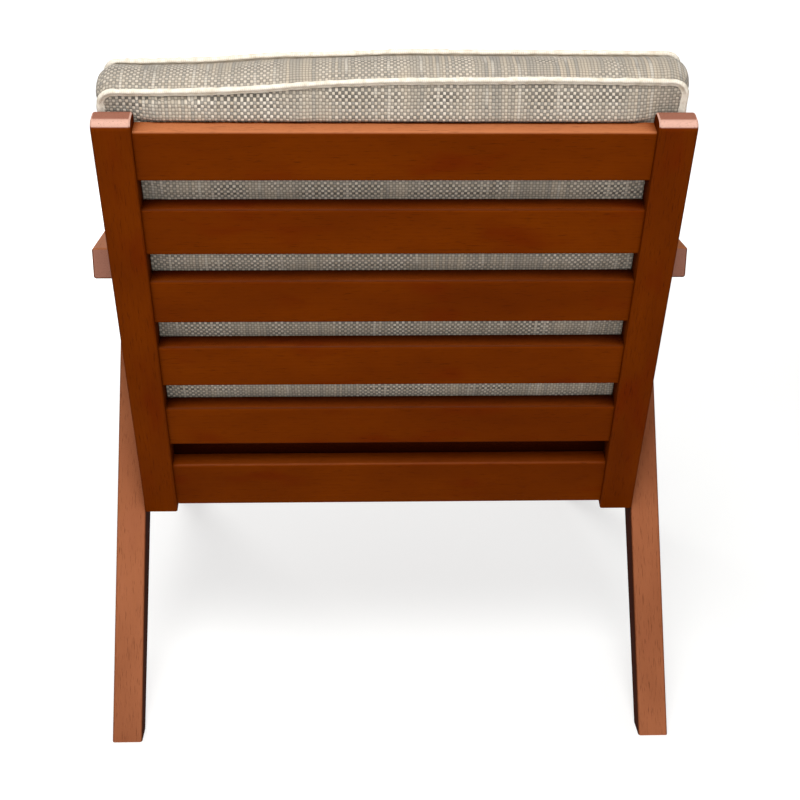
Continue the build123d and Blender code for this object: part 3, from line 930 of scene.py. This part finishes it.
def makeWeave(name, values):
    # Slubby basket-woven polyester and cotton: pale warp over dark weft gives small checks, thicker yarns show
    # as streaks, and a slight haze of fibre softens grazing light
    material, tree = newMaterial(name)
    place = addNode(tree, "TexCoord")
    spot = addNode(tree, "SeparateXYZ", {0: place.outputs["Object"]})
    facing = addNode(tree, "VectorMath", {0: place.outputs["Normal"]}, operation="ABSOLUTE")
    side = addNode(tree, "SeparateXYZ", {0: facing})
    most = addNode(tree, "Math", {0: side.outputs["X"], 1: side.outputs["Y"]}, operation="MAXIMUM")
    onPanel = addNode(tree, "Math", {0: side.outputs["Z"], 1: most}, operation="GREATER_THAN")
    onEnd = addNode(tree, "Math", {0: side.outputs["X"], 1: side.outputs["Y"]}, operation="GREATER_THAN")
    notPanel = addNode(tree, "Math", {0: 1.0, 1: onPanel}, operation="SUBTRACT")
    endShare = addNode(tree, "Math", {0: onEnd, 1: notPanel}, operation="MULTIPLY")
    acrossRaw = addNode(
        tree, "Mix", {0: endShare, 2: spot.outputs["X"], 3: spot.outputs["Y"]}, data_type="FLOAT"
    )
    upRaw = addNode(tree, "Mix", {0: onPanel, 2: spot.outputs["Z"], 3: spot.outputs["Y"]}, data_type="FLOAT")
    # yarns wander a little
    drift = addNode(
        tree, "TexNoise", {"Vector": place.outputs["Object"], "Scale": values["driftsPerMetre"], "Detail": 2.0}
    )
    driftParts = addNode(tree, "SeparateColor", {0: drift.outputs["Color"]})
    acrossPush = addNode(
        tree, "Math", {0: driftParts, 1: values["yarnDrift"], 2: acrossRaw}, operation="MULTIPLY_ADD"
    )
    upPush = addNode(
        tree, "Math", {0: driftParts.outputs[1], 1: values["yarnDrift"], 2: upRaw}, operation="MULTIPLY_ADD"
    )
    perMetre = 1000 / values["yarnSpacing"]
    u = addNode(tree, "Math", {0: acrossPush, 1: perMetre}, operation="MULTIPLY")
    v = addNode(tree, "Math", {0: upPush, 1: perMetre}, operation="MULTIPLY")
    uNumber = addNode(tree, "Math", {0: u}, operation="FLOOR")
    vNumber = addNode(tree, "Math", {0: v}, operation="FLOOR")
    uPart = addNode(tree, "Math", {0: u}, operation="FRACT")
    vPart = addNode(tree, "Math", {0: v}, operation="FRACT")
    both = addNode(tree, "Math", {0: uNumber, 1: vNumber}, operation="ADD")
    warpOver = addNode(tree, "Math", {0: both, 1: 2.0}, operation="FLOORED_MODULO")
    uTurn = addNode(tree, "Math", {0: uPart, 1: math.pi}, operation="MULTIPLY")
    vTurn = addNode(tree, "Math", {0: vPart, 1: math.pi}, operation="MULTIPLY")
    uArch = addNode(tree, "Math", {0: uTurn}, operation="SINE")
    vArch = addNode(tree, "Math", {0: vTurn}, operation="SINE")
    height = addNode(tree, "Math", {0: uArch, 1: vArch}, operation="MULTIPLY")
    # each yarn has its own shade, and slubs run along the warp
    warpShade = addNode(tree, "TexWhiteNoise", {"W": uNumber}, noise_dimensions="1D")
    weftSeed = addNode(tree, "Math", {0: vNumber, 1: 517.3}, operation="ADD")
    weftShade = addNode(tree, "TexWhiteNoise", {"W": weftSeed}, noise_dimensions="1D")
    slubUp = addNode(tree, "Math", {0: upRaw, 1: 1000 / values["slubLength"]}, operation="MULTIPLY")
    slubAcross = addNode(tree, "Math", {0: uNumber, 1: values["slubSpread"]}, operation="MULTIPLY")
    slubPlace = addNode(tree, "CombineXYZ", {0: slubAcross, 1: slubUp})
    slub = addNode(tree, "TexNoise", {"Vector": slubPlace, "Scale": 1.0, "Detail": 2.0})
    warpMix = addNode(tree, "Math", {0: warpShade, 1: 0.5, 2: slub}, operation="MULTIPLY_ADD")
    warpShare = addNode(tree, "MapRange", {0: warpMix, 1: 0.45, 2: 1.05})
    warp = addNode(
        tree,
        "Mix",
        {0: warpShare, 6: linear(values["paleYarn"]), 7: linear(values["warmYarn"])},
        data_type="RGBA",
    )
    weft = addNode(
        tree,
        "Mix",
        {0: weftShade, 6: linear(values["darkYarn"]), 7: linear(values["greyYarn"])},
        data_type="RGBA",
    )
    checks = addNode(tree, "Mix", {0: warpOver, 6: weft.outputs[2], 7: warp.outputs[2]}, data_type="RGBA")
    # in places the two yarns are nearer in shade, so the checks come and go
    calm = addNode(
        tree,
        "TexNoise",
        {"Vector": place.outputs["Object"], "Scale": 1000 / values["patchSize"], "Detail": 2.0},
    )
    start, full = values["patchFrom"]
    calmShare = addNode(
        tree, "MapRange", {0: calm, 1: start, 2: full, 4: values["patchCalm"]}, interpolation_type="SMOOTHSTEP"
    )
    plain = addNode(
        tree,
        "Mix",
        {0: warpShade, 6: linear(values["warmYarn"]), 7: linear(values["greyYarn"])},
        data_type="RGBA",
    )
    calmAll = addNode(
        tree, "Math", {0: notPanel, 1: values["boxingCalm"], 2: calmShare}, operation="MULTIPLY_ADD"
    )
    calmed = addNode(tree, "Mix", {0: calmAll, 6: checks.outputs[2], 7: plain.outputs[2]}, data_type="RGBA")
    # now and then a thick pale warp yarn
    thick = addNode(tree, "Math", {0: warpShade, 1: values["streakFrom"]}, operation="GREATER_THAN")
    swollen = addNode(
        tree, "MapRange", {0: slub, 1: 0.42, 2: 0.6, 4: values["streakShare"]}, interpolation_type="SMOOTHSTEP"
    )
    streak = addNode(tree, "Math", {0: thick, 1: swollen}, operation="MULTIPLY")
    streaked = addNode(
        tree, "Mix", {0: streak, 6: calmed.outputs[2], 7: linear(values["paleYarn"])}, data_type="RGBA"
    )
    # painted shade: the hollows between the yarns are darkened
    shade = addNode(tree, "MapRange", {0: height, 1: 0.0, 2: 0.55, 3: values["hollowShade"], 4: 1.0})
    colour = addNode(
        tree, "Mix", {0: 1.0, 6: streaked.outputs[2], 7: shade}, data_type="RGBA", blend_type="MULTIPLY"
    )
    bump = addNode(tree, "Bump", {"Strength": 0.7, "Distance": values["reliefDepth"], "Height": height})
    low, high = values["roughness"]
    rough = addNode(tree, "MapRange", {0: warpShade, 3: low, 4: high})
    cloth = addNode(
        tree,
        "BsdfPrincipled",
        {
            "Base Color": colour.outputs[2],
            "Roughness": rough,
            "IOR": 1.45,
            "Specular IOR Level": 0.2,
            "Sheen Weight": values["fibreHaze"],
            "Sheen Roughness": 0.5,
            "Normal": bump,
        },
    )
    addNode(tree, "OutputMaterial", {"Surface": cloth})
    return material


cordCloth = {
    "cream": "#F8F0E2",
    "shadow": "#DACDB7",
    "threadSpacing": 1.3,  # mm, coarser than real threads of 0.5 mm, which would not show
    "creaseSize": 7.0,  # mm
    "creaseShare": 0.7,
    "threadShare": 0.35,
}


def makeCordCloth(name, values):
    # Bias-cut cotton drawn tight round a cord: cream, with fine slanting threads and faint soft creases, both
    # darkened with painted shade
    material, tree = newMaterial(name)
    place = addNode(tree, "TexCoord")
    slant = addNode(
        tree, "Mapping", {"Vector": place.outputs["Object"], "Rotation": (0.6, 0.5, 0.785)}, vector_type="POINT"
    )
    threads = addNode(
        tree,
        "TexWave",
        {"Vector": slant, "Scale": waveRepeat / values["threadSpacing"], "Distortion": 1.2, "Detail": 2.0},
        wave_type="BANDS",
        bands_direction="X",
    )
    crease = addNode(
        tree,
        "TexNoise",
        {"Vector": place.outputs["Object"], "Scale": 1000 / values["creaseSize"], "Detail": 2.0},
    )
    share = addNode(tree, "MapRange", {0: crease, 1: 0.42, 2: 0.72, 4: values["creaseShare"]})
    threadShare = addNode(
        tree, "Math", {0: threads.outputs["Fac"], 1: values["threadShare"], 2: share}, operation="MULTIPLY_ADD"
    )
    # painted shade: the soft creases and the grooves between the threads take the darker shadow colour
    colour = addNode(
        tree, "Mix", {0: threadShare, 6: linear(values["cream"]), 7: linear(values["shadow"])}, data_type="RGBA"
    )
    height = addNode(tree, "Math", {0: crease, 1: 1.4, 2: threads.outputs["Fac"]}, operation="MULTIPLY_ADD")
    bump = addNode(tree, "Bump", {"Strength": 0.5, "Distance": 0.0004, "Height": height})
    rough = addNode(tree, "MapRange", {0: crease, 3: 0.7, 4: 0.9})
    cloth = addNode(
        tree,
        "BsdfPrincipled",
        {
            "Base Color": colour.outputs[2],
            "Roughness": rough,
            "IOR": 1.45,
            "Specular IOR Level": 0.25,
            "Sheen Weight": 0.1,
            "Sheen Roughness": 0.4,
            "Normal": bump,
        },
    )
    addNode(tree, "OutputMaterial", {"Surface": cloth})
    return material


weave = makeWeave("basketWovenCover", coverWeave)
cordFinish = makeCordCloth("biasCutCottonCord", cordCloth)
for side, placing in placings.items():
    body = placing["body"]
    cover = makeCover(side + "CushionCover", placing, cushions)
    cover.data.materials.clear()
    cover.data.materials.append(weave)
    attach(cover, body)
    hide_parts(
        body + "_core",
        body + "_boxing",
        body + "_" + placing["restPanel"],
        body + "_" + placing["frontPanel"],
    )
    print(cover.name, len(cover.data.vertices), "points")
    low = cushions["restCrown"]
    high = low + cushions["boxing"]
    for seam, cordName, height in (("Rest", placing["restCord"], low), ("Front", placing["frontCord"], high)):
        cord = makeCord(side + "Cushion" + seam + "Cord", placing, cords, height)
        cord.data.materials.append(cordFinish)
        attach(cord, body)
        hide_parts(body + "_" + cordName)
print("cushions made")
